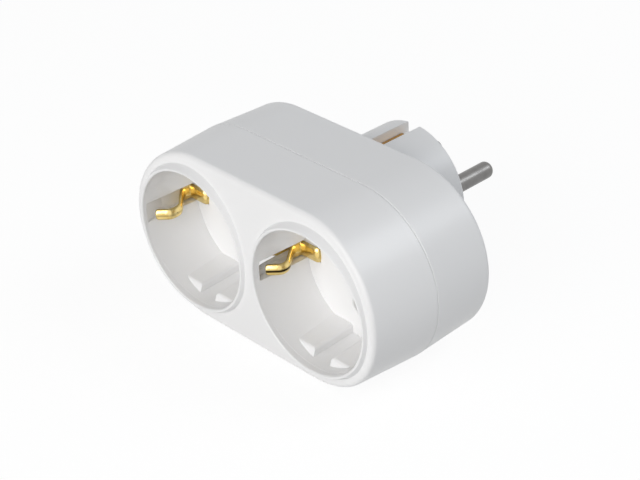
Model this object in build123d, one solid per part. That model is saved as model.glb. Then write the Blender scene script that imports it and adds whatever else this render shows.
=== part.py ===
"""Two-way earthed socket adapter: two round sockets in front, one round plug behind.

Units are millimetres. The origin is the centre of the plug's end face, between the two pins.
+X runs along the row of sockets, +Y out of the plug along its pins, and +Z is up.
"""
import os

from build123d import *

# Body outline and skirts
RIM_WIDTH = 5.15
FRONT_DEPTH = 20.5
WALL = 2.0
FRONT_DRAFT = 0.35
END_TAPER = 1.45
FACE_CROWN = 1.6
REAR_DRAFT = 0.7
FACE_EDGE_RADIUS = 1.3
BACK_EDGE_RADIUS = 1.2
SEAM_CHAMFER = 0.25
TONGUE_THICKNESS = 0.9
TONGUE_HEIGHT = 1.4

# Socket recess
RECESS_DIAMETER = 39.2
RECESS_DEPTH = 18.3
RECESS_DRAFT = 0.7
CUP_WALL = 1.8
CUP_SPACING = 1.7
PARTITION_HEIGHT = 16.0
BASE_THICKNESS = 2.0
LIP_HEIGHT = 1.0
LIP_WIDTH = 0.75
LIP_ROUND = 0.45
LIP_FLANK_ROUND = 0.2
LIP_FLANK_SLOPE = 0.46
PIN_HOLE_DIAMETER = 5.2
PIN_HOLE_LEAD = 0.3
SLEEVE_LENGTH = 3.0
SLEEVE_WALL = 1.0
RIB_HEIGHT = 2.6
RIB_DRAFT = 0.9
RIB_CHANNEL = 6.0
RIB_SETBACK = 4.0
RIB_LEAD = 1.1
RIB_EDGE_RADIUS = 0.9
CLIP_POCKET_ABOVE = 3.3
CLIP_POCKET_BELOW = 2.5
CLIP_POCKET_SETBACK = 2.3
CLIP_RAMP_SETBACK = 1.5
CLIP_RAMP_LENGTH = 6.5
PARTITION_SLOT = 4.0

# Plug body and pins
PLUG_LENGTH = 20.9
PLUG_DRAFT = 0.2
PLUG_WALL = 2.2
PLUG_END_WALL = 3.2
PLUG_EDGE_RADIUS = 0.4
PIN_DIAMETER = 4.8
PIN_LENGTH = 19.0
PIN_SPACING = 19.0
PIN_TIP_RADIUS = 1.7
PIN_SEAT_DIAMETER = 5.8
PIN_FLANGE_DIAMETER = 8.0
PIN_FLANGE_THICKNESS = 1.2
PIN_RIVET_DIAMETER = 3.0
PIN_RIVET_HEAD_DIAMETER = 4.6
PIN_RIVET_HEAD_HEIGHT = 0.7
EARTH_FACE_DEPTH = 2.7
NOTCH_WIDTH = 4.5

# Brass strip, bars and forks
STRIP_THICKNESS = 0.8
CLIP_WIDTH = 4.4
CLIP_CREST_WIDTH = 3.2
CLIP_REACH = 3.1
CLIP_FOOT_REACH = 4.9
CLIP_TIP_OUT = 0.4
CLIP_TIP_DEPTH = 4.7
CLIP_CREST_DEPTH = 7.4
CLIP_CREST_LENGTH = 2.0
CLIP_SLOPE_LENGTH = 5.3
CLIP_BEND = 1.8
FOOT_BEND = 0.5
WALL_BEND = 2.8
PLUG_CONTACT_WIDTH = 4.0
HOOK_SETBACK = 1.9
HOOK_LENGTH = 2.0
HOOK_BEND = 0.6
RAIL_THICKNESS = 1.0
RAIL_WIDTH = 7.0
RAIL_MARGIN = 2.2
TAIL_STICKOUT = 0.8
BAR_THICKNESS = 0.8
BAR_WIDTH = 6.0
LINK_WIDTH = 5.0
LINK_BEND = 0.6
FORK_THICKNESS = 0.7
FORK_WIDTH = 5.6
FORK_THROAT = 4.7
FORK_BASE_WIDTH = 7.2
FORK_MOUTH = 6.6
FORK_MOUTH_LENGTH = 2.2
FORK_NECK_LENGTH = 3.0
FORK_FRONT_GAP = 0.3
FORK_BEND = 0.5
CONTACT_RIVET_DIAMETER = 2.4
CONTACT_RIVET_HEAD_DIAMETER = 4.2
CONTACT_RIVET_HEAD_HEIGHT = 0.8

# Screws, bosses and chambers
SCREW_OFFSET = 3.75
SCREW_DIAMETER = 3.0
SCREW_HEAD_DIAMETER = 5.6
SCREW_HEAD_HEIGHT = 2.0
SCREW_HEAD_RECESS = 4.0
SCREW_TIP_ROOM = 1.5
SCREW_SLOT_WIDTH = 0.9
SCREW_SLOT_DEPTH = 1.1
BOSS_DIAMETER = 6.4
BOSS_LENGTH = 9.0
TUBE_WALL = 1.3
CHAMBER_WALL = 1.2
CHAMBER_FRONT_GAP = 3.0

# Clearances
FIT_GAP = 0.05
SLIDE_GAP = 0.1
LOOSE_GAP = 0.3
PLUG_GAP = 1.3
PIN_TIP_ROOM = 0.3
OVERCUT = 1.0

# Stations along Y, from the plug's end face forward to the raised ring of the sockets
back_y = -PLUG_LENGTH
back_inside_y = back_y - WALL
bar_y = back_inside_y - BAR_THICKNESS
fork_base_y = bar_y - FORK_THICKNESS
floor_y = fork_base_y - PIN_TIP_ROOM - PIN_LENGTH
floor_back_y = floor_y + BASE_THICKNESS
sleeve_end_y = floor_back_y + SLEEVE_LENGTH
rail_back_y = floor_back_y + RAIL_THICKNESS
boss_end_y = floor_back_y + BOSS_LENGTH
lip_y = floor_y - RECESS_DEPTH
face_y = lip_y + LIP_HEIGHT
seam_y = face_y + FRONT_DEPTH
head_seat_y = back_y - SCREW_HEAD_RECESS - SCREW_HEAD_HEIGHT
eyelet_back_y = -PLUG_END_WALL - PIN_FLANGE_THICKNESS
eyelet_y = eyelet_back_y - BAR_THICKNESS

# Radii and places worked out from the driving dimensions
mouth_radius = RECESS_DIAMETER / 2
floor_radius = mouth_radius - RECESS_DRAFT
cup_radius = mouth_radius + CUP_WALL
seam_radius = mouth_radius + RIM_WIDTH
face_radius = seam_radius - FRONT_DRAFT
face_arch_radius = (face_radius ** 2 + FACE_CROWN ** 2) / (2 * FACE_CROWN)
back_radius = seam_radius - REAR_DRAFT
socket_pitch = 2 * cup_radius + CUP_SPACING
rib_chord = mouth_radius - RIB_HEIGHT
plug_radius = mouth_radius - PLUG_GAP
earth_face_radius = plug_radius - EARTH_FACE_DEPTH
notch_floor = earth_face_radius - STRIP_THICKNESS
pin_x = PIN_SPACING / 2
hole_z = PIN_SPACING / 2
boss_radius = BOSS_DIAMETER / 2
tube_radius = boss_radius + SLIDE_GAP + TUBE_WALL
clip_wall_radius = cup_radius - STRIP_THICKNESS / 2
clip_crest_radius = mouth_radius - CLIP_REACH
clip_tip_radius = mouth_radius + CLIP_TIP_OUT
clip_tail_radius = mouth_radius - CLIP_FOOT_REACH
clip_pocket_height = CLIP_POCKET_ABOVE + CLIP_POCKET_BELOW
socket_places = {"left": -socket_pitch / 2, "right": socket_pitch / 2}
screw_x = socket_pitch / 2 + SCREW_OFFSET
screw_places = (-screw_x, screw_x)


def slab(section, start_y, end_y):
    """Extrude a section drawn in X and Z from one station to another."""
    return extrude(Plane.XZ.offset(-end_y) * section, amount=end_y - start_y)


def racetrack(radius, taper=0):
    """Body outline: two half circles of this radius about the socket axes, each drawn in by the taper."""
    return SlotCenterToCenter(socket_pitch - 2 * taper, 2 * radius)


def drafted_racetrack(start_y, start_radius, end_y, end_radius, start_taper=0):
    """Solid racetrack whose outline changes evenly from one station to another."""
    start = Plane.XZ.offset(-start_y) * racetrack(start_radius, start_taper)
    end = Plane.XZ.offset(-end_y) * racetrack(end_radius)
    return loft([start, end], ruled=True)


def face_arch(inset):
    """Cylinder along X whose front is the arched face of the body, moved inwards by the inset."""
    length = 2 * (socket_pitch + seam_radius)
    return Pos(0, face_y + face_arch_radius, 0) * Rot(0, 90, 0) * Cylinder(face_arch_radius - inset, length)


def turned(points):
    """Solid turned about the Y axis from an outline of (radius, y) points."""
    return revolve(make_face(Polyline(*points, close=True)), axis=Axis.Y)


def bent_strip(points, radii, thickness, width, plane, side):
    """Strip of sheet folded along a path, which is one face of the sheet."""
    path = FilletPolyline(*points, radius=radii)
    outline = offset(path, amount=thickness, side=side, closed=True)
    return extrude(plane * make_face(outline), amount=width / 2, both=True)


def half_turn(shape):
    """The same shape turned half a turn about the plug's axis."""
    return Rot(0, 180, 0) * shape


def recess_void():
    """Space inside one socket, about its own axis: flared mouth, drafted wall, guide ribs left standing."""
    round_centre = (mouth_radius + LIP_ROUND, lip_y + LIP_ROUND)
    mouth_edge = mouth_radius + LIP_ROUND
    end_y = floor_y + OVERCUT
    outline = [
        Line((0, end_y), (floor_radius, end_y)),
        Line((floor_radius, end_y), (floor_radius, floor_y)),
        Line((floor_radius, floor_y), (mouth_radius, lip_y + LIP_ROUND)),
        CenterArc(round_centre, LIP_ROUND, 180, 90),
        Line((mouth_edge, lip_y), (mouth_edge, lip_y - OVERCUT)),
        Line((mouth_edge, lip_y - OVERCUT), (0, lip_y - OVERCUT)),
        Line((0, lip_y - OVERCUT), (0, end_y)),
    ]
    void = revolve(make_face(Curve() + outline), axis=Axis.Y)
    for rib in guide_ribs():
        void -= rib
    return void


def guide_ribs():
    """Four ribs on two chords of the recess, with a channel between each pair and a sloped front end."""
    front = lip_y + RIB_SETBACK
    outside = mouth_radius + LIP_ROUND
    side_view = Polyline(
        (front, outside), (front + RIB_LEAD, rib_chord), (floor_y, rib_chord - RIB_DRAFT),
        (floor_y + OVERCUT, rib_chord - RIB_DRAFT), (floor_y + OVERCUT, outside), close=True)
    rib = extrude(Plane.YZ.offset(RIB_CHANNEL / 2) * make_face(side_view), amount=outside)
    chord_edges = rib.faces().filter_by(Axis.X, reverse=True).sort_by(Axis.Z)[1].edges()
    rib = fillet(chord_edges.sort_by(Axis.X)[:1] + chord_edges.sort_by(Axis.Y)[:1], RIB_EDGE_RADIUS)
    pair = [rib, mirror(rib, about=Plane.YZ)]
    return pair + [mirror(one, about=Plane.XY) for one in pair]


def lip_ring():
    """Raised ring round one socket mouth, about its axis, with a flank that slopes down to the face."""
    root_y = face_y + FACE_CROWN + WALL
    crest_radius = mouth_radius + LIP_WIDTH
    root_radius = crest_radius + LIP_FLANK_SLOPE * (root_y - lip_y)
    outline = [(mouth_radius, lip_y), (crest_radius, lip_y), (root_radius, root_y), (mouth_radius, root_y)]
    section = make_face(Polyline(*outline, close=True))
    corner = section.vertices().sort_by(Axis.Y)[:2].sort_by(Axis.X)[-1:]
    return revolve(fillet(corner, LIP_FLANK_ROUND), axis=Axis.Y) - face_arch(WALL / 2)


def pin_hole():
    """Hole for one pin through the socket base and its sleeve, with a conical lead."""
    radius = PIN_HOLE_DIAMETER / 2
    lead_radius = radius + PIN_HOLE_LEAD
    return turned([(0, floor_y - OVERCUT), (lead_radius, floor_y - OVERCUT), (lead_radius, floor_y),
                   (radius, floor_y + PIN_HOLE_LEAD), (radius, sleeve_end_y + OVERCUT),
                   (0, sleeve_end_y + OVERCUT)])


def clip_pocket(side, ramp):
    """Pocket in the cup wall for the clip at the side given by the sign of X, deepening over a ramp."""
    inside = floor_radius / 2
    outside = cup_radius + FIT_GAP
    front_y = lip_y + (CLIP_RAMP_SETBACK if ramp else CLIP_POCKET_SETBACK)
    end_y = floor_y + OVERCUT
    plan = Polyline(
        (side * inside, front_y), (side * mouth_radius, front_y), (side * outside, front_y + ramp),
        (side * outside, end_y), (side * inside, end_y), close=True)
    pocket = extrude(make_face(plan), amount=clip_pocket_height, dir=(0, 0, 1))
    return Pos(0, 0, -CLIP_POCKET_BELOW) * pocket


def end_pad():
    """Block that joins the right cup to the skirt behind its outer clip."""
    inside = cup_radius - CUP_WALL / 2
    outside = seam_radius - WALL
    height = 2 * (CLIP_POCKET_ABOVE + CUP_WALL)
    return Pos((socket_pitch + inside + outside) / 2, 0) * Rectangle(outside - inside, height)


def clip_slit(side):
    """Slit in the socket base for the tail of an earth clip."""
    inside = clip_tail_radius - STRIP_THICKNESS - SLIDE_GAP
    outside = clip_tail_radius + FOOT_BEND + SLIDE_GAP
    slit = Rectangle(outside - inside, CLIP_WIDTH + 2 * SLIDE_GAP)
    section = Pos(side * (inside + outside) / 2, 0) * slit
    return slab(section, floor_y - OVERCUT, floor_back_y + OVERCUT)


def make_front_cover():
    """Front moulding: skirt, arched face, two cups with raised mouths, ribs and tongue."""
    skirt = drafted_racetrack(face_y, face_radius, seam_y, seam_radius, END_TAPER)
    skirt = chamfer(skirt.edges().group_by(Axis.Y)[-1], SEAM_CHAMFER) & face_arch(0)
    skirt = fillet(skirt.faces().sort_by(Axis.Y)[0].edges(), FACE_EDGE_RADIUS)
    hollow = drafted_racetrack(face_y, face_radius - WALL, seam_y, seam_radius - WALL, END_TAPER)
    cover = skirt - (hollow & face_arch(WALL))

    tongue_inside = seam_radius - WALL
    tongue = racetrack(tongue_inside + TONGUE_THICKNESS) - racetrack(tongue_inside)
    cover += slab(tongue, seam_y - TONGUE_HEIGHT, seam_y + TONGUE_HEIGHT)

    partition_width = CUP_SPACING + 2 * CUP_WALL
    walls = Rectangle(partition_width, PARTITION_HEIGHT) + end_pad() + mirror(end_pad(), about=Plane.YZ)
    for x in socket_places.values():
        walls += Pos(x, 0) * Circle(cup_radius)
    core = drafted_racetrack(face_y, face_radius - WALL / 2, seam_y, seam_radius - WALL / 2, END_TAPER)
    cover += slab(walls, face_y, floor_y) & core & face_arch(WALL / 2)

    void = recess_void()
    ring = lip_ring()
    for x in socket_places.values():
        cover += Pos(x, 0, 0) * ring
    for x, outward in zip(socket_places.values(), (-1, 1)):
        cover -= Pos(x, 0, 0) * void
        cover -= Pos(x, 0, 0) * clip_pocket(outward, CLIP_RAMP_LENGTH)
        cover -= Pos(x, 0, 0) * clip_pocket(-outward, 0)
    slot_place = Pos(0, CLIP_POCKET_ABOVE - PARTITION_SLOT / 2)
    slot = slot_place * Rectangle(partition_width, PARTITION_SLOT)
    return cover - slab(slot, lip_y + CLIP_POCKET_SETBACK, floor_y + OVERCUT)


def make_socket_base():
    """Plate that closes both cups: pin holes with sleeves behind them, clip slits and screw bosses."""
    base = slab(racetrack(cup_radius), floor_y, floor_back_y)
    middle_y = floor_back_y - BASE_THICKNESS / 2
    sleeve = Circle(PIN_HOLE_DIAMETER / 2 + SLEEVE_WALL)
    for x in socket_places.values():
        for side in (-1, 1):
            base += slab(Pos(x, side * hole_z) * sleeve, middle_y, sleeve_end_y)
    for x in screw_places:
        base += slab(Pos(x, 0) * Circle(boss_radius), middle_y, boss_end_y)
    for x in socket_places.values():
        for side in (-1, 1):
            base -= Pos(x, 0, 0) * clip_slit(side)
            base -= Pos(x, 0, side * hole_z) * pin_hole()
    pilot = Circle(SCREW_DIAMETER / 2 + FIT_GAP)
    for x in screw_places:
        base -= slab(Pos(x, 0) * pilot, floor_back_y, boss_end_y + OVERCUT)
    return base


def plug_cavity():
    """Hollow of the plug body, kept clear of the earth notches."""
    reach = plug_radius - PLUG_WALL
    trough = Rectangle(NOTCH_WIDTH + 2 * PLUG_WALL, 2 * reach)
    trough -= Rectangle(NOTCH_WIDTH + 2 * PLUG_WALL, 2 * (notch_floor - PLUG_WALL))
    return slab(Circle(reach) - trough, back_inside_y - OVERCUT, -PLUG_END_WALL)


def earth_notch():
    """Open-ended notch in the top of the plug, its hook slit and its passage through the back wall."""
    depth = plug_radius - notch_floor + OVERCUT
    place = Pos(0, notch_floor + depth / 2)
    notch = slab(place * Rectangle(NOTCH_WIDTH, depth), back_y, OVERCUT)
    contact = Rectangle(PLUG_CONTACT_WIDTH + 2 * SLIDE_GAP, STRIP_THICKNESS + SLIDE_GAP)
    passage_place = Pos(0, notch_floor + (STRIP_THICKNESS + SLIDE_GAP) / 2)
    notch += slab(passage_place * contact, back_inside_y - OVERCUT, back_y)
    slit_height = HOOK_LENGTH + SLIDE_GAP
    slit = Rectangle(PLUG_CONTACT_WIDTH + 2 * SLIDE_GAP, slit_height + OVERCUT)
    slit_place = Pos(0, notch_floor - slit_height + (slit_height + OVERCUT) / 2)
    hook_front = -HOOK_SETBACK - STRIP_THICKNESS - HOOK_BEND - SLIDE_GAP
    return notch + slab(slit_place * slit, hook_front, -HOOK_SETBACK + SLIDE_GAP)


def fork_chamber():
    """Walls round one fork contact, about the contact's own axis."""
    width = FORK_BASE_WIDTH + 2 * LOOSE_GAP
    height = FORK_WIDTH + 2 * LOOSE_GAP
    inner = Rectangle(width, height)
    outer = Rectangle(width + 2 * CHAMBER_WALL, height + 2 * CHAMBER_WALL)
    return slab(outer - inner, sleeve_end_y + CHAMBER_FRONT_GAP, back_inside_y + WALL / 2)


def bar_channel():
    """Room for the line bar where it crosses the chamber walls."""
    length = socket_pitch + FORK_BASE_WIDTH + 2 * SLIDE_GAP
    section = Pos(0, hole_z) * Rectangle(length, BAR_WIDTH + 2 * SLIDE_GAP)
    return slab(section, bar_y - SLIDE_GAP, back_inside_y)


def make_rear_housing():
    """Rear moulding: skirt, back wall, plug body, notches, chambers and screw tubes."""
    skirt = drafted_racetrack(seam_y, seam_radius, back_y, back_radius)
    skirt = chamfer(skirt.edges().group_by(Axis.Y)[0], SEAM_CHAMFER)
    skirt = fillet(skirt.edges().group_by(Axis.Y)[-1], BACK_EDGE_RADIUS)
    housing = skirt - drafted_racetrack(seam_y, seam_radius - WALL, back_inside_y, back_radius - WALL)
    rebate = racetrack(seam_radius - WALL + TONGUE_THICKNESS + SLIDE_GAP)
    housing -= slab(rebate, seam_y - OVERCUT, seam_y + TONGUE_HEIGHT + SLIDE_GAP)

    root = Plane.XZ.offset(-(back_y - WALL / 2)) * Circle(plug_radius)
    end = Plane.XZ * Circle(plug_radius - PLUG_DRAFT)
    plug = loft([root, end], ruled=True)
    housing += fillet(plug.edges().group_by(Axis.Y)[-1], PLUG_EDGE_RADIUS)

    for x in socket_places.values():
        for side in (-1, 1):
            housing += Pos(x, 0, side * hole_z) * fork_chamber()
    for x in screw_places:
        housing += slab(Pos(x, 0) * Circle(tube_radius), rail_back_y, back_inside_y + WALL / 2)

    housing -= plug_cavity()
    for tool in (earth_notch(), bar_channel()):
        housing -= tool
        housing -= half_turn(tool)
    for x in screw_places:
        boss_room = Circle(boss_radius + SLIDE_GAP)
        shank_room = Circle(SCREW_DIAMETER / 2 + SLIDE_GAP)
        head_room = Circle(SCREW_HEAD_DIAMETER / 2 + LOOSE_GAP)
        housing -= slab(Pos(x, 0) * boss_room, rail_back_y - OVERCUT, boss_end_y + SLIDE_GAP)
        housing -= slab(Pos(x, 0) * shank_room, boss_end_y, back_y)
        housing -= slab(Pos(x, 0) * head_room, head_seat_y, back_y + OVERCUT)
    pin_seat = Circle(PIN_SEAT_DIAMETER / 2 + FIT_GAP)
    rivet_pocket = Circle(CONTACT_RIVET_HEAD_DIAMETER / 2 + SLIDE_GAP)
    for side in (-1, 1):
        housing -= slab(Pos(side * pin_x, 0) * pin_seat, -PLUG_END_WALL - OVERCUT, OVERCUT)
        for x in socket_places.values():
            pocket = slab(Pos(x, side * hole_z) * rivet_pocket, back_inside_y - OVERCUT,
                          back_inside_y + CONTACT_RIVET_HEAD_HEIGHT + SLIDE_GAP)
            housing -= pocket
    return housing


def make_plug_pin():
    """One turned pin about its own axis: round tip, seat in the end wall, flange behind it, rivet end."""
    radius = PIN_DIAMETER / 2
    tip_centre = (radius - PIN_TIP_RADIUS, PIN_LENGTH - PIN_TIP_RADIUS)
    seat = PIN_SEAT_DIAMETER / 2
    rivet = PIN_RIVET_DIAMETER / 2
    head = PIN_RIVET_HEAD_DIAMETER / 2
    flange = PIN_FLANGE_DIAMETER / 2
    head_y = eyelet_y - PIN_RIVET_HEAD_HEIGHT
    inner_end = Polyline(
        (0, PIN_LENGTH), (0, head_y), (head, head_y), (head, eyelet_y), (rivet, eyelet_y),
        (rivet, eyelet_back_y), (flange, eyelet_back_y), (flange, -PLUG_END_WALL), (seat, -PLUG_END_WALL),
        (seat, 0), (radius, 0), (radius, PIN_LENGTH - PIN_TIP_RADIUS))
    tip = CenterArc(tip_centre, PIN_TIP_RADIUS, 0, 90)
    flat_end = Line((tip_centre[0], PIN_LENGTH), (0, PIN_LENGTH))
    return revolve(make_face(Curve() + [inner_end, tip, flat_end]), axis=Axis.Y)


def make_line_busbar():
    """Stamped bar behind the upper holes of both sockets, with a link down to the eyelet of its pin."""
    length = socket_pitch + FORK_BASE_WIDTH
    bar = slab(Pos(0, hole_z) * Rectangle(length, BAR_WIDTH), bar_y, back_inside_y)
    link_z = hole_z - BAR_WIDTH / 2
    link_path = [(bar_y, hole_z), (bar_y, link_z), (eyelet_y, link_z), (eyelet_y, 0)]
    link_radii = [LINK_BEND + BAR_THICKNESS, LINK_BEND]
    link = bent_strip(link_path, link_radii, BAR_THICKNESS, LINK_WIDTH, Plane.YZ, Side.LEFT)
    bar += Pos(pin_x, 0, 0) * link
    bar += slab(Pos(pin_x, 0) * Circle(PIN_FLANGE_DIAMETER / 2), eyelet_y, eyelet_back_y)
    eye = Circle(PIN_RIVET_DIAMETER / 2 + FIT_GAP)
    bar -= slab(Pos(pin_x, 0) * eye, eyelet_y - OVERCUT, eyelet_back_y + OVERCUT)
    rivet_hole = Circle(CONTACT_RIVET_DIAMETER / 2 + FIT_GAP)
    for x in socket_places.values():
        bar -= slab(Pos(x, hole_z) * rivet_hole, bar_y - OVERCUT, back_inside_y + OVERCUT)
    return bar


def make_fork():
    """One sprung fork about its own axis: a flat base and two leaves with a throat and a flared mouth."""
    front = sleeve_end_y + FORK_FRONT_GAP
    throat_y = front + FORK_MOUTH_LENGTH
    neck_y = throat_y + FORK_NECK_LENGTH
    mouth = FORK_MOUTH / 2
    throat = FORK_THROAT / 2
    base = FORK_BASE_WIDTH / 2 - FORK_THICKNESS
    half = [(mouth, front), (throat, throat_y), (throat, neck_y), (base, fork_base_y)]
    path = half + [(-x, y) for x, y in reversed(half)]
    fork = bent_strip(path, FORK_BEND, FORK_THICKNESS, FORK_WIDTH, Plane.XY, Side.RIGHT)
    rivet_hole = slab(Circle(CONTACT_RIVET_DIAMETER / 2 + FIT_GAP), fork_base_y - OVERCUT, bar_y + OVERCUT)
    return fork - rivet_hole


def make_contact_rivet():
    """Rivet about its own axis, flush with the fork's base and with its head behind the bar."""
    shank = CONTACT_RIVET_DIAMETER / 2
    head = CONTACT_RIVET_HEAD_DIAMETER / 2
    head_y = back_inside_y + CONTACT_RIVET_HEAD_HEIGHT
    return turned([(0, fork_base_y), (shank, fork_base_y), (shank, back_inside_y), (head, back_inside_y),
                   (head, head_y), (0, head_y)])


def make_earth_clip(side):
    """S-shaped earth clip about the socket's axis, standing at the side given by the sign of X."""
    crest = clip_crest_radius + STRIP_THICKNESS
    crest_y = lip_y + CLIP_CREST_DEPTH
    slope_y = crest_y + CLIP_CREST_LENGTH
    wall_y = slope_y + CLIP_SLOPE_LENGTH
    tail_y = rail_back_y + TAIL_STICKOUT
    path = [
        (clip_tail_radius, tail_y), (clip_tail_radius, floor_y), (clip_wall_radius, floor_y),
        (clip_wall_radius, wall_y), (crest, slope_y), (crest, crest_y),
        (clip_tip_radius, lip_y + CLIP_TIP_DEPTH)]
    radii = [FOOT_BEND, WALL_BEND, CLIP_BEND, CLIP_BEND, CLIP_BEND]
    clip = bent_strip(path, radii, STRIP_THICKNESS, CLIP_WIDTH, Plane.XY, Side.RIGHT)
    edge = [(lip_y, CLIP_CREST_WIDTH / 2), (slope_y, CLIP_CREST_WIDTH / 2), (wall_y, CLIP_WIDTH / 2),
            (tail_y + OVERCUT, CLIP_WIDTH / 2)]
    front_view = Polyline(*edge, *[(y, -z) for y, z in reversed(edge)], close=True)
    clip &= extrude(Plane.YZ * make_face(front_view), amount=socket_pitch)
    if side < 0:
        clip = mirror(clip, about=Plane.YZ)
    return clip


def make_upper_plug_contact():
    """Earth strip in the plug's upper notch, hooked at its end and let through the rail's arm."""
    hook_y = -HOOK_SETBACK - STRIP_THICKNESS
    path = [(floor_back_y, notch_floor), (hook_y, notch_floor), (hook_y, notch_floor - HOOK_LENGTH)]
    return bent_strip(path, HOOK_BEND, STRIP_THICKNESS, PLUG_CONTACT_WIDTH, Plane.YZ, Side.LEFT)


def make_earth_rail():
    """Stamped cross behind the socket base, with eyes for the bosses and slots for every earth strip."""
    reach = socket_pitch / 2 + clip_tail_radius + RAIL_MARGIN
    arm_reach = earth_face_radius + RAIL_MARGIN
    plate = Rectangle(2 * reach, RAIL_WIDTH) + Rectangle(RAIL_WIDTH, 2 * arm_reach)
    eye_radius = boss_radius + SLIDE_GAP
    for x in screw_places:
        plate += Pos(x, 0) * Circle(eye_radius + RAIL_MARGIN)
    for x in screw_places:
        plate -= Pos(x, 0) * Circle(eye_radius)
    tail_slot = Rectangle(STRIP_THICKNESS + 2 * FIT_GAP, CLIP_WIDTH + 2 * FIT_GAP)
    arm_slot = Rectangle(PLUG_CONTACT_WIDTH + 2 * FIT_GAP, STRIP_THICKNESS + 2 * FIT_GAP)
    for side in (-1, 1):
        for x in socket_places.values():
            plate -= Pos(x + side * (clip_tail_radius - STRIP_THICKNESS / 2), 0) * tail_slot
        plate -= Pos(0, side * (notch_floor + STRIP_THICKNESS / 2)) * arm_slot
    return slab(plate, floor_back_y, rail_back_y)


def make_housing_screw():
    """One housing screw about its own axis, with a cross slot in its head."""
    shank = SCREW_DIAMETER / 2
    head = SCREW_HEAD_DIAMETER / 2
    tip_y = floor_back_y + SCREW_TIP_ROOM
    head_y = head_seat_y + SCREW_HEAD_HEIGHT
    screw = turned([(0, tip_y), (shank, tip_y), (shank, head_seat_y), (head, head_seat_y), (head, head_y),
                    (0, head_y)])
    arm = Rectangle(SCREW_HEAD_DIAMETER - 2 * SCREW_SLOT_WIDTH, SCREW_SLOT_WIDTH)
    cross = arm + Rot(0, 0, 90) * arm
    return screw - slab(cross, head_y - SCREW_SLOT_DEPTH, head_y + OVERCUT)


def make_parts():
    """Every piece in its place, by node name."""
    pin = make_plug_pin()
    bar = make_line_busbar()
    fork = make_fork()
    rivet = make_contact_rivet()
    screw = make_housing_screw()
    contact = make_upper_plug_contact()
    parts = {
        "front_cover": make_front_cover(),
        "socket_base": make_socket_base(),
        "rear_housing": make_rear_housing(),
        "line_pin": Pos(pin_x, 0, 0) * pin,
        "neutral_pin": Pos(-pin_x, 0, 0) * pin,
        "line_busbar": bar,
        "neutral_busbar": half_turn(bar),
        "earth_rail": make_earth_rail(),
        "upper_plug_earth_contact": contact,
        "lower_plug_earth_contact": half_turn(contact),
    }
    rivets = []
    for name, x in socket_places.items():
        for pole, z in (("line", hole_z), ("neutral", -hole_z)):
            parts[f"{name}_{pole}_receptacle"] = Pos(x, 0, z) * fork
            rivets.append(Pos(x, 0, z) * rivet)
        outward = 1 if x > 0 else -1
        parts[f"{name}_outer_earth_clip"] = Pos(x, 0, 0) * make_earth_clip(outward)
        parts[f"{name}_inner_earth_clip"] = Pos(x, 0, 0) * make_earth_clip(-outward)
    parts["contact_rivets"] = Compound(children=rivets)
    parts["housing_screws"] = Compound(children=[Pos(x, 0, 0) * screw for x in screw_places])
    return parts


def main():
    """Build the adapter and write one file for each piece."""
    os.makedirs("parts", exist_ok=True)
    for name, shape in make_parts().items():
        export_step(shape, f"parts/{name}.step")
        print(f"{name}: {shape.volume:.1f} mm3")


main()
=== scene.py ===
"""Looks of the two-way socket adapter: finishes, sprung brass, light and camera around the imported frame."""
import logging
from dataclasses import dataclass
from enum import Enum
from typing import List, Optional, Sequence, Tuple, Union

import bpy
import numpy as np
from mathutils import Matrix, Vector


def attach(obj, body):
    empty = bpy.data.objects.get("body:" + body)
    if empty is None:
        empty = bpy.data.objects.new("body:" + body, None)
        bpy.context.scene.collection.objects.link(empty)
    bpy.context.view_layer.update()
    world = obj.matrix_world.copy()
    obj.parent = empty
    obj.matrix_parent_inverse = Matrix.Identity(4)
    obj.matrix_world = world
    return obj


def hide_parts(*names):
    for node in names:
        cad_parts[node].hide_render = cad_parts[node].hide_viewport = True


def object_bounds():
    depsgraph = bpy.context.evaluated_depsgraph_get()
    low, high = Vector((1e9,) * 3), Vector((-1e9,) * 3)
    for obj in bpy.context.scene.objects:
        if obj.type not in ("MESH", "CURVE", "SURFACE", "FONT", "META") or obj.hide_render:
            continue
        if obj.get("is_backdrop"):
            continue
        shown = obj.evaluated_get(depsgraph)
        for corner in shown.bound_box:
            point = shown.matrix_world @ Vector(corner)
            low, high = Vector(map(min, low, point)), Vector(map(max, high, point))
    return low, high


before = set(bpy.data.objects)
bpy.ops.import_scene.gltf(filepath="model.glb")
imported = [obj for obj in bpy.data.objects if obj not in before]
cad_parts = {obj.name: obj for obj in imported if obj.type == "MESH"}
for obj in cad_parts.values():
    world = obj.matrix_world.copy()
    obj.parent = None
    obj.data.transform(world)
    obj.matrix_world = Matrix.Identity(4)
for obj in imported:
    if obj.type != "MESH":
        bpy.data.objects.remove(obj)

LOG = logging.getLogger("adapter")
MM = 0.001
BODY = "root"
# Point attribute that holds the painted dark reflection on the springs' edges and crest line.
DARK_REFLECTION = "dark_reflection"
NOISE_ROUGHNESS = 0.55
EDGE_SAMPLES = 6
NOISE_MEAN = 0.5

Colour = Tuple[float, float, float]
Shade = Union[Colour, bpy.types.NodeSocket]
Point = Tuple[float, float, float]


class Side(Enum):
    """Which way along X a piece stands from the axis of its socket."""

    LEFT = -1
    RIGHT = 1


class Grain(Enum):
    """How the fine lines on a metal run, as the stretch of their noise: along Y, or round it."""

    ROLLED = (1.0, 0.06, 1.0)
    TURNED = (0.02, 1.0, 0.02)


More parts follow.
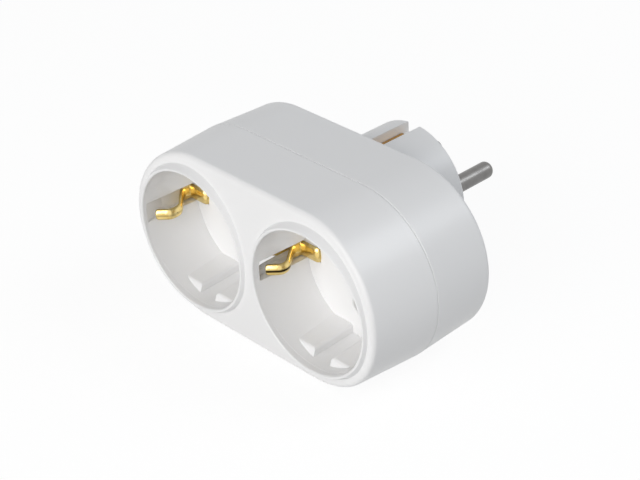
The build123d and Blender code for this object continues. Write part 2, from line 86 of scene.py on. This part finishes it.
class Signal:
    """A shader value that takes part in sums: each operator adds one Math node."""

    def __init__(self, graph: "ShaderGraph", socket: bpy.types.NodeSocket) -> None:
        """Keep the socket and the graph that it belongs to."""
        self.graph = graph
        self.socket = socket

    def __add__(self, other: "Value") -> "Signal":
        """Sum of both values."""
        return self.graph.math("ADD", self, other)

    __radd__ = __add__

    def __sub__(self, other: "Value") -> "Signal":
        """This value less the other."""
        return self.graph.math("SUBTRACT", self, other)

    def __rsub__(self, other: "Value") -> "Signal":
        """The other value less this one."""
        return self.graph.math("SUBTRACT", other, self)

    def __mul__(self, other: "Value") -> "Signal":
        """Product of both values."""
        return self.graph.math("MULTIPLY", self, other)

    __rmul__ = __mul__

    def at_least(self, other: "Value") -> "Signal":
        """The larger of both values."""
        return self.graph.math("MAXIMUM", self, other)


Value = Union[Signal, float]


class ShaderGraph:
    """The node tree of one material or of the world."""

    def __init__(self, tree: bpy.types.NodeTree) -> None:
        """Start from an empty tree."""
        self.tree = tree
        self.tree.nodes.clear()

    def node(self, kind: str, settings: Optional[dict] = None,
             sockets: Optional[dict] = None) -> bpy.types.Node:
        """Create one node.

        Args:
            kind: Blender's name of the node type.
            settings: properties of the node, which are set first.
            sockets: values or links of its inputs, by name or number.

        Returns:
            The new node.
        """
        made = self.tree.nodes.new(kind)
        for name, value in (settings or {}).items():
            setattr(made, name, value)
        for name, value in (sockets or {}).items():
            if isinstance(value, Signal):
                value = value.socket
            if isinstance(value, bpy.types.NodeSocket):
                self.tree.links.new(value, made.inputs[name])
            else:
                made.inputs[name].default_value = value
        return made

    def signal(self, node: bpy.types.Node, output: Union[str, int] = 0) -> Signal:
        """One output of a node as a value for sums."""
        return Signal(self, node.outputs[output])

    def math(self, operation: str, first: Value, second: Value) -> Signal:
        """Result of one Math node on two values."""
        return self.signal(self.node("ShaderNodeMath", {"operation": operation}, {0: first, 1: second}))

    def place(self, stretch: Point = (1.0, 1.0, 1.0)) -> bpy.types.NodeSocket:
        """Object coordinates, stretched along each axis.

        Args:
            stretch: factor along X, Y and Z.

        Returns:
            The socket of the coordinates.
        """
        coordinates = self.node("ShaderNodeTexCoord")
        sockets = {"Vector": coordinates.outputs["Object"], "Scale": stretch}
        return self.node("ShaderNodeMapping", None, sockets).outputs["Vector"]

    def noise(self, scale: float, detail: float = 3.0, stretch: Point = (1.0, 1.0, 1.0)) -> Signal:
        """Even noise from 0 to 1 over the object.

        Args:
            scale: features to the metre.
            detail: octaves of finer noise.
            stretch: factor along X, Y and Z, for noise drawn out into lines.

        Returns:
            The noise value.
        """
        sockets = {"Vector": self.place(stretch), "Scale": scale, "Detail": detail,
                   "Roughness": NOISE_ROUGHNESS}
        return self.signal(self.node("ShaderNodeTexNoise", None, sockets), "Fac")

    def attribute(self, name: str) -> Signal:
        """Value that the piece keeps under this name, or 0 on a piece without it."""
        return self.signal(self.node("ShaderNodeAttribute", {"attribute_name": name}), "Fac")

    def blend(self, share: Value, first: Shade, second: Colour) -> bpy.types.NodeSocket:
        """Colour between two colours.

        Args:
            share: how much of the second colour there is.
            first: colour at share 0, or the socket of one.
            second: colour at share 1.

        Returns:
            The socket of the mixed colour.
        """
        start = first if isinstance(first, bpy.types.NodeSocket) else (*first, 1.0)
        mix = self.node("ShaderNodeMix", {"data_type": "RGBA"}, {0: share, 6: start, 7: (*second, 1.0)})
        return mix.outputs[2]

    def bump(self, height: Signal, depth: float, rounding: float) -> bpy.types.NodeSocket:
        """Normal of a surface with rounded edges and a fine relief.

        Args:
            height: relief from 0 to 1.
            depth: depth of the relief in metres.
            rounding: radius in metres to which sharp edges look rounded.

        Returns:
            The socket of the normal.
        """
        edge = self.node("ShaderNodeBevel", {"samples": EDGE_SAMPLES}, {"Radius": rounding})
        sockets = {"Strength": 1.0, "Distance": depth, "Height": height, "Normal": edge.outputs["Normal"]}
        return self.node("ShaderNodeBump", None, sockets).outputs["Normal"]

    def surface(self, **sockets: object) -> None:
        """Principled surface, joined to the output.

        Args:
            sockets: values or links of its inputs, with _ for each space in an input's name.
        """
        named = {name.replace("_", " "): value for name, value in sockets.items()}
        shader = self.node("ShaderNodeBsdfPrincipled", None, named)
        self.node("ShaderNodeOutputMaterial", None, {"Surface": shader.outputs["BSDF"]})


def new_graph(name: str) -> Tuple[bpy.types.Material, ShaderGraph]:
    """Start a material.

    Args:
        name: name of the material.

    Returns:
        The empty material and its graph.
    """
    material = bpy.data.materials.new(name)
    material.use_nodes = True
    return material, ShaderGraph(material.node_tree)


@dataclass(frozen=True)
class MouldedPlastic:
    """Smooth moulded plastic with a faint cloudiness, uneven gloss and a shallow ripple."""

    name: str
    colour: Colour
    clouded: Colour
    roughness: float = 0.32
    gloss_spread: float = 0.1
    cloud_scale: float = 45.0
    ripple_scale: float = 900.0
    ripple_depth: float = 0.004 * MM
    rounding: float = 0.22 * MM
    ior: float = 1.48

    def material(self) -> bpy.types.Material:
        """Build the material.

        Returns:
            The material, ready to be put on a piece.
        """
        material, graph = new_graph(self.name)
        cloud = graph.noise(self.cloud_scale)
        ripple = graph.noise(self.ripple_scale)
        uneven = (cloud - NOISE_MEAN) * self.gloss_spread + (ripple - NOISE_MEAN) * self.gloss_spread
        graph.surface(Base_Color=graph.blend(cloud, self.colour, self.clouded),
                      Roughness=self.roughness + uneven,
                      Normal=graph.bump(ripple, self.ripple_depth, self.rounding), IOR=self.ior)
        return material


@dataclass(frozen=True)
class WorkedMetal:
    """Metal with the fine lines of rolling or turning, a thin uneven tarnish and painted dark reflections
    where a piece marks them.
    """

    name: str
    colour: Colour
    tarnish: Colour
    grain: Grain
    roughness: float = 0.16
    gloss_spread: float = 0.14
    tarnish_scale: float = 380.0
    line_scale: float = 3200.0
    line_detail: float = 2.0
    line_depth: float = 0.0025 * MM
    rounding: float = 0.12 * MM
    contrast: float = 1.0
    # Near-black colour of the painted dark reflections.
    reflection_colour: Colour = (0.02, 0.012, 0.003)

    def material(self) -> bpy.types.Material:
        """Build the material.

        Returns:
            The material, ready to be put on a piece.
        """
        material, graph = new_graph(self.name)
        spots = (graph.noise(self.tarnish_scale) - NOISE_MEAN) * self.contrast + NOISE_MEAN
        metal = graph.blend(spots, self.colour, self.tarnish)
        lines = graph.noise(self.line_scale, self.line_detail, self.grain.value)
        uneven = (spots - NOISE_MEAN) * self.gloss_spread + (lines - NOISE_MEAN) * self.gloss_spread
        # Painted dark reflection: the near-black colour is mixed in wherever the piece's point attribute is
        # set.
        colour = graph.blend(graph.attribute(DARK_REFLECTION), metal, self.reflection_colour)
        graph.surface(Base_Color=colour, Metallic=1.0, Roughness=self.roughness + uneven,
                      Normal=graph.bump(lines, self.line_depth, self.rounding))
        return material


def dress(names: Sequence[str], material: bpy.types.Material) -> None:
    """Give the named frame nodes one material.

    Args:
        names: the nodes.
        material: their new material.
    """
    for name in names:
        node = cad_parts[name]
        node.data.materials.clear()
        node.data.materials.append(material)
        LOG.info("dressed %s in %s", name, material.name)


@dataclass
class Mouldings:
    """The front cover, the base of its cups and the rear housing."""

    finish: MouldedPlastic
    nodes: Tuple[str, ...] = ("front_cover", "socket_base", "rear_housing")

    def build(self) -> None:
        """Dress the mouldings."""
        dress(self.nodes, self.finish.material())


@dataclass
class Metalwork:
    """Pieces of the frame in one metal."""

    finish: WorkedMetal
    nodes: Tuple[str, ...]

    def build(self) -> None:
        """Dress the pieces."""
        dress(self.nodes, self.finish.material())


def run_along(line: np.ndarray) -> np.ndarray:
    """Length from the start of a line to each of its points: the running sum of the steps between them.

    Args:
        line: one (radius, y) row for each point.

    Returns:
        One length for each point.
    """
    return np.concatenate(([0.0], np.cumsum(np.hypot(*np.diff(line, axis=0).T))))


@dataclass
class EarthSpring:
    """One sprung earth strip of a socket: foot on the base, S-shaped rise, crest and a bent tip.

    Lengths are in millimetres, and corners are (radius, y) pairs with the radius taken along X from the
    socket's axis. A single strip may be bent: its crest is pushed towards the axis, reaches further out or
    droops. The dark line along the crest is a painted dark reflection, not a fold in the shape, and its
    place and width are shares of the half width. The long edges carry a painted dark reflection as well.
    """

    node: str
    axis_x: float
    side: Side
    crest_push: float = 0.0
    crest_reach: float = 0.0
    droop: float = 0.0
    # Strength of the painted dark reflection line along the crest.
    reflection_line: float = 0.5
    thickness: float = 0.8
    crown: float = 0.45
    foot_half: float = 2.2
    crest_half: float = 1.6
    tip_round: float = 0.6
    tip_narrowing: float = 0.4
    tip_limit: float = 0.97
    softness: float = 4.0
    squareness: float = 4.4
    # Place, width and fade of the painted dark reflection line along the crest.
    reflection_line_place: float = -0.08
    reflection_line_width: float = 0.22
    reflection_line_fade: float = 1.8
    # Strength of the painted dark reflection along both long edges, and the power of |u| that confines it
    # there.
    edge_reflection: float = 0.35
    edge_power: float = 8.0
    tail: Tuple[float, float] = (14.3, -39.9)
    heel: Tuple[float, float] = (14.3, -44.1)
    toe: Tuple[float, float] = (20.9, -44.1)
    rise: Tuple[float, float] = (20.9, -47.4)
    crest_end: Tuple[float, float] = (16.9, -52.6)
    crest: Tuple[float, float] = (16.9, -54.5)
    tip: Tuple[float, float] = (19.75, -57.3)
    steps: int = 240
    around: int = 96

    def centre_line(self) -> np.ndarray:
        """Middle of the strip in its side view: the folded line, averaged over a short window.

        Returns:
            One (radius, y) row for each step.
        """
        push = np.array((-self.crest_push, 0.0))
        reach = np.array((-self.crest_push, -self.crest_reach))
        corners = np.array((self.tail, self.heel, self.toe, self.rise, self.crest_end + push,
                            self.crest + reach, self.tip + reach))
        run = run_along(corners)
        places = np.linspace(0.0, run[-1], self.steps)
        line = np.stack([np.interp(places, run, corners[:, axis]) for axis in (0, 1)], axis=1)
        span = int(self.softness / (places[1] * 2.0))
        window = np.hanning(2 * span + 3)[1:-1]
        before = 2.0 * line[0] - line[span:0:-1]
        after = 2.0 * line[-1] - line[-2:-span - 2:-1]
        padded = np.vstack((before, line, after))
        weights = window / window.sum()
        return np.stack([np.convolve(padded[:, axis], weights, "valid") for axis in (0, 1)], axis=1)

    def half_width(self, line: np.ndarray) -> np.ndarray:
        """Half the strip's width: wide on the wall, narrow at the crest, drawn in along a circle at the tip.

        Args:
            line: the centre line.

        Returns:
            One half width for each step.
        """
        half = np.interp(line[:, 1], (self.crest_end[1], self.rise[1]), (self.crest_half, self.foot_half))
        run = run_along(line)
        past = np.clip(1.0 - (run[-1] - run) / self.tip_round, 0.0, self.tip_limit)
        return half * (1.0 - self.tip_narrowing * (1.0 - np.sqrt(1.0 - past ** 2)))

    def outline(self) -> Tuple[np.ndarray, np.ndarray]:
        """Rounded oblong |u|^n + |v|^n = 1 of the strip's section: u across the strip and v through it.

        Returns:
            Both coordinates, from -1 to 1, once round.
        """
        turn = np.linspace(0.0, 2.0 * np.pi, self.around, endpoint=False) + np.pi / self.around
        across = np.cos(turn)
        through = np.sign(np.sin(turn)) * (1.0 - np.abs(across) ** self.squareness) ** (1.0 / self.squareness)
        return across, through

    def vertices(self) -> np.ndarray:
        """Rings of a rounded oblong carried along the centre line.

        The oblong is as wide as the strip along Z and as thick as the sheet along the normal of the centre
        line, and is raised by a crown of (1 - u^2) towards the socket's axis. From the wall to the crest it
        sinks evenly by the droop.

        Returns:
            The points in metres, ring by ring.
        """
        line = self.centre_line()
        half = self.half_width(line)[:, None]
        along = np.gradient(line, axis=0)
        along /= np.hypot(along[:, 0], along[:, 1])[:, None]
        normal = np.stack((along[:, 1], -along[:, 0]), axis=1)
        across, through = self.outline()
        lift = through * self.thickness / 2.0 + self.crown * (1.0 - across ** 2)
        radius = line[:, :1] + normal[:, :1] * lift
        depth = line[:, 1:] + normal[:, 1:] * lift
        sunk = self.droop * np.interp(line[:, 1:], (self.crest_end[1], self.rise[1]), (1.0, 0.0))
        points = np.stack((self.axis_x + self.side.value * radius, depth, half * across - sunk), axis=-1)
        return points.reshape(-1, 3) * MM

    def dark_reflection(self) -> np.ndarray:
        """Painted dark reflection at each point: a high power of |u| towards both long edges, and a bell
        about the line along the crest.

        Returns:
            One value for each point, ring by ring.
        """
        across = self.outline()[0]
        fade = (self.crest_end[1], self.crest_end[1] + self.reflection_line_fade)
        bend = np.interp(self.centre_line()[:, 1], fade, (1.0, 0.0))
        reflection_line = self.reflection_line * np.exp(-((across - self.reflection_line_place) / self.reflection_line_width) ** 2)
        return (self.edge_reflection * np.abs(across) ** self.edge_power + bend[:, None] * reflection_line).ravel()

    def faces(self) -> np.ndarray:
        """Four-cornered faces between neighbouring rings, with both ends closed across their ring.

        The left side mirrors the points, so its corners are taken the other way round to face outwards.

        Returns:
            One row of four vertex numbers for each face.
        """
        count = self.around
        ring = np.arange(count)
        start = np.arange(self.steps - 1)[:, None] * count
        ahead = (ring + 1) % count
        sides = np.stack((start + ring, start + ahead, start + count + ahead, start + count + ring), axis=-1)
        low = np.arange(count // 2 - 1)
        first = np.stack((low, count - 1 - low, count - 2 - low, low + 1), axis=-1)
        last = first[:, ::-1] + (self.steps - 1) * count
        every = np.vstack((sides.reshape(-1, 4), first, last))
        return every[:, ::-1] if self.side is Side.LEFT else every

    def build(self, material: bpy.types.Material) -> None:
        """Make the strip in place of its node.

        Args:
            material: its finish.
        """
        name = self.node + "_spring"
        mesh = bpy.data.meshes.new(name)
        mesh.from_pydata(self.vertices(), [], self.faces())
        mesh.polygons.foreach_set("use_smooth", np.ones(len(mesh.polygons), dtype=bool))
        # Painted dark reflection on the long edges and the crest line, one value per point.
        dark_reflection = mesh.attributes.new(DARK_REFLECTION, "FLOAT", "POINT")
        dark_reflection.data.foreach_set("value", self.dark_reflection().astype(np.float32))
        mesh.materials.append(material)
        piece = bpy.data.objects.new(name, mesh)
        bpy.context.scene.collection.objects.link(piece)
        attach(piece, BODY)
        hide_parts(self.node)
        LOG.info("made %s with %d faces", piece.name, len(mesh.polygons))


@dataclass(frozen=True)
class SoftBox:
    """A square lamp that looks at the middle of the object."""

    name: str
    place: Point
    width: float
    power: float
    colour: Colour = (1.0, 1.0, 1.0)

    def build(self, aim: Vector) -> None:
        """Hang the lamp.

        Args:
            aim: the point that it faces.
        """
        lamp = bpy.data.lights.new(self.name, "AREA")
        lamp.shape = "SQUARE"
        lamp.size = self.width
        lamp.energy = self.power
        lamp.color = self.colour
        holder = bpy.data.objects.new(self.name, lamp)
        holder.location = self.place
        holder.rotation_euler = (aim - Vector(self.place)).to_track_quat("-Z", "Y").to_euler()
        bpy.context.scene.collection.objects.link(holder)


@dataclass
class Studio:
    """White ground and surround, soft lamps and the camera of the photograph."""

    lamps: Tuple[SoftBox, ...]
    ambient: float = 0.225
    ambient_tint: Colour = (0.97, 0.985, 1.0)
    floor_reach: float = 3.0
    floor_colour: Colour = (0.62, 0.62, 0.62)
    floor_glow: float = 0.82
    glow_strength: float = 1.12
    eye: Point = (0.3058, -0.3069, 0.2452)
    target: Point = (-0.00018, -0.0360, -0.0023)
    roll: float = -3.38
    lens: float = 102.47
    sensor: float = 36.0
    clip_start: float = 0.01

    def seen(self, graph: ShaderGraph) -> Signal:
        """Tell rays that look at the surround from light that falls on the object.

        Args:
            graph: the graph that asks.

        Returns:
            1 for rays from the eye, from gloss and through glass, and 0 for other light.
        """
        rays = graph.node("ShaderNodeLightPath")
        mirrored = graph.signal(rays, "Is Glossy Ray").at_least(graph.signal(rays, "Is Transmission Ray"))
        return graph.signal(rays, "Is Camera Ray").at_least(mirrored)

    def hang_surround(self) -> None:
        """World that is white to look at and gives an even, weaker light."""
        world = bpy.data.worlds.new("surround")
        world.use_nodes = True
        bpy.context.scene.world = world
        graph = ShaderGraph(world.node_tree)
        seen = self.seen(graph)
        strength = self.ambient + seen * (1.0 - self.ambient)
        colour = graph.blend(seen, self.ambient_tint, (1.0, 1.0, 1.0))
        white = graph.node("ShaderNodeBackground", None, {"Color": colour, "Strength": strength})
        graph.node("ShaderNodeOutputWorld", None, {"Surface": white.outputs[0]})

    def lay_floor(self, height: float) -> None:
        """Ground plane that looks white and keeps a faint shadow.

        Args:
            height: level of the ground.
        """
        reach = self.floor_reach
        corners = [(-reach, -reach, height), (reach, -reach, height), (reach, reach, height),
                   (-reach, reach, height)]
        mesh = bpy.data.meshes.new("floor")
        mesh.from_pydata(corners, [], [(0, 1, 2, 3)])
        floor = bpy.data.objects.new("floor", mesh)
        bpy.context.scene.collection.objects.link(floor)
        material, graph = new_graph("white_ground")
        matt = graph.node("ShaderNodeBsdfDiffuse", None, {"Color": (*self.floor_colour, 1.0)})
        glow = graph.node("ShaderNodeEmission", None, {"Strength": self.glow_strength})
        share = self.seen(graph) * self.floor_glow
        mix = graph.node("ShaderNodeMixShader", None, {0: share, 1: matt.outputs[0], 2: glow.outputs[0]})
        graph.node("ShaderNodeOutputMaterial", None, {"Surface": mix.outputs[0]})
        mesh.materials.append(material)
        floor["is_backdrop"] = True

    def set_camera(self) -> None:
        """Camera that looks from the eye to the target, turned by its roll about that line."""
        data = bpy.data.cameras.new("camera")
        data.sensor_fit = "HORIZONTAL"
        data.sensor_width = self.sensor
        data.lens = self.lens
        data.clip_start = self.clip_start
        camera = bpy.data.objects.new("camera", data)
        back = (Vector(self.eye) - Vector(self.target)).normalized()
        right = Vector((0.0, 0.0, 1.0)).cross(back).normalized()
        turn = Matrix((right, back.cross(right), back)).transposed()
        spin = Matrix.Rotation(np.radians(self.roll), 3, "Z")
        camera.matrix_world = Matrix.Translation(self.eye) @ (turn @ spin).to_4x4()
        bpy.context.scene.collection.objects.link(camera)
        bpy.context.scene.camera = camera

    def build(self, low: Vector, high: Vector) -> None:
        """Set up the studio round the object.

        Args:
            low: lowest corner of the object.
            high: highest corner of the object.
        """
        self.hang_surround()
        self.lay_floor(low.z)
        for lamp in self.lamps:
            lamp.build((low + high) / 2)
        self.set_camera()
        bpy.context.scene.view_settings.view_transform = "Standard"


WHITE = MouldedPlastic("white_plastic", (0.9, 0.9, 0.905), (0.885, 0.885, 0.89))
BRIGHT_BRASS = WorkedMetal("bright_brass", (1.0, 0.82, 0.38), (0.78, 0.54, 0.16), Grain.ROLLED, roughness=0.2,
                           tarnish_scale=600.0, contrast=1.9)
CONTACT_BRASS = WorkedMetal("contact_brass", (0.55, 0.34, 0.12), (0.42, 0.24, 0.07), Grain.ROLLED,
                            roughness=0.38)
BRASS_SHEET = WorkedMetal("brass_sheet", (0.76, 0.56, 0.24), (0.62, 0.42, 0.16), Grain.ROLLED, roughness=0.3)
PLATED = WorkedMetal("plated_pin", (0.24, 0.235, 0.23), (0.16, 0.156, 0.152), Grain.TURNED, roughness=0.34)
ZINC = WorkedMetal("screw_steel", (0.6, 0.6, 0.6), (0.5, 0.5, 0.48), Grain.TURNED, roughness=0.34)

LAMPS = (
    SoftBox("front_box", (0.2, -0.96, 0.24), 1.1, 10.5, (1.0, 0.99, 0.975)),
    SoftBox("rear_box", (0.52, 0.45, 0.7), 0.5, 2.85, (0.92, 0.96, 1.0)),
)

SOCKET_X = 22.25
# Some springs take a stronger or weaker painted dark reflection line along the crest.
SPRINGS = (
    EarthSpring("left_outer_earth_clip", -SOCKET_X, Side.LEFT, crest_push=1.4, crest_reach=1.1, droop=0.6,
                reflection_line=0.4),
    EarthSpring("left_inner_earth_clip", -SOCKET_X, Side.RIGHT),
    EarthSpring("right_inner_earth_clip", SOCKET_X, Side.LEFT, droop=0.4, reflection_line=1.4),
    EarthSpring("right_outer_earth_clip", SOCKET_X, Side.RIGHT),
)


def inner_nodes() -> List[str]:
    """Every brass node inside the housing."""
    forks = [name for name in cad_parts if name.endswith("_receptacle")]
    return sorted(forks) + ["line_busbar", "neutral_busbar", "earth_rail", "contact_rivets"]


def main() -> None:
    """Dress the frame and set up the studio."""
    logging.basicConfig(level=logging.INFO, format="%(name)s: %(message)s")
    frame_low, frame_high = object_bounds()
    Mouldings(WHITE).build()
    Metalwork(PLATED, ("line_pin", "neutral_pin")).build()
    Metalwork(CONTACT_BRASS, ("upper_plug_earth_contact", "lower_plug_earth_contact")).build()
    brass = BRIGHT_BRASS.material()
    for spring in SPRINGS:
        spring.build(brass)
    Metalwork(BRASS_SHEET, tuple(inner_nodes())).build()
    Metalwork(ZINC, ("housing_screws",)).build()
    Studio(LAMPS).build(frame_low, frame_high)


if __name__ == "__main__":
    main()
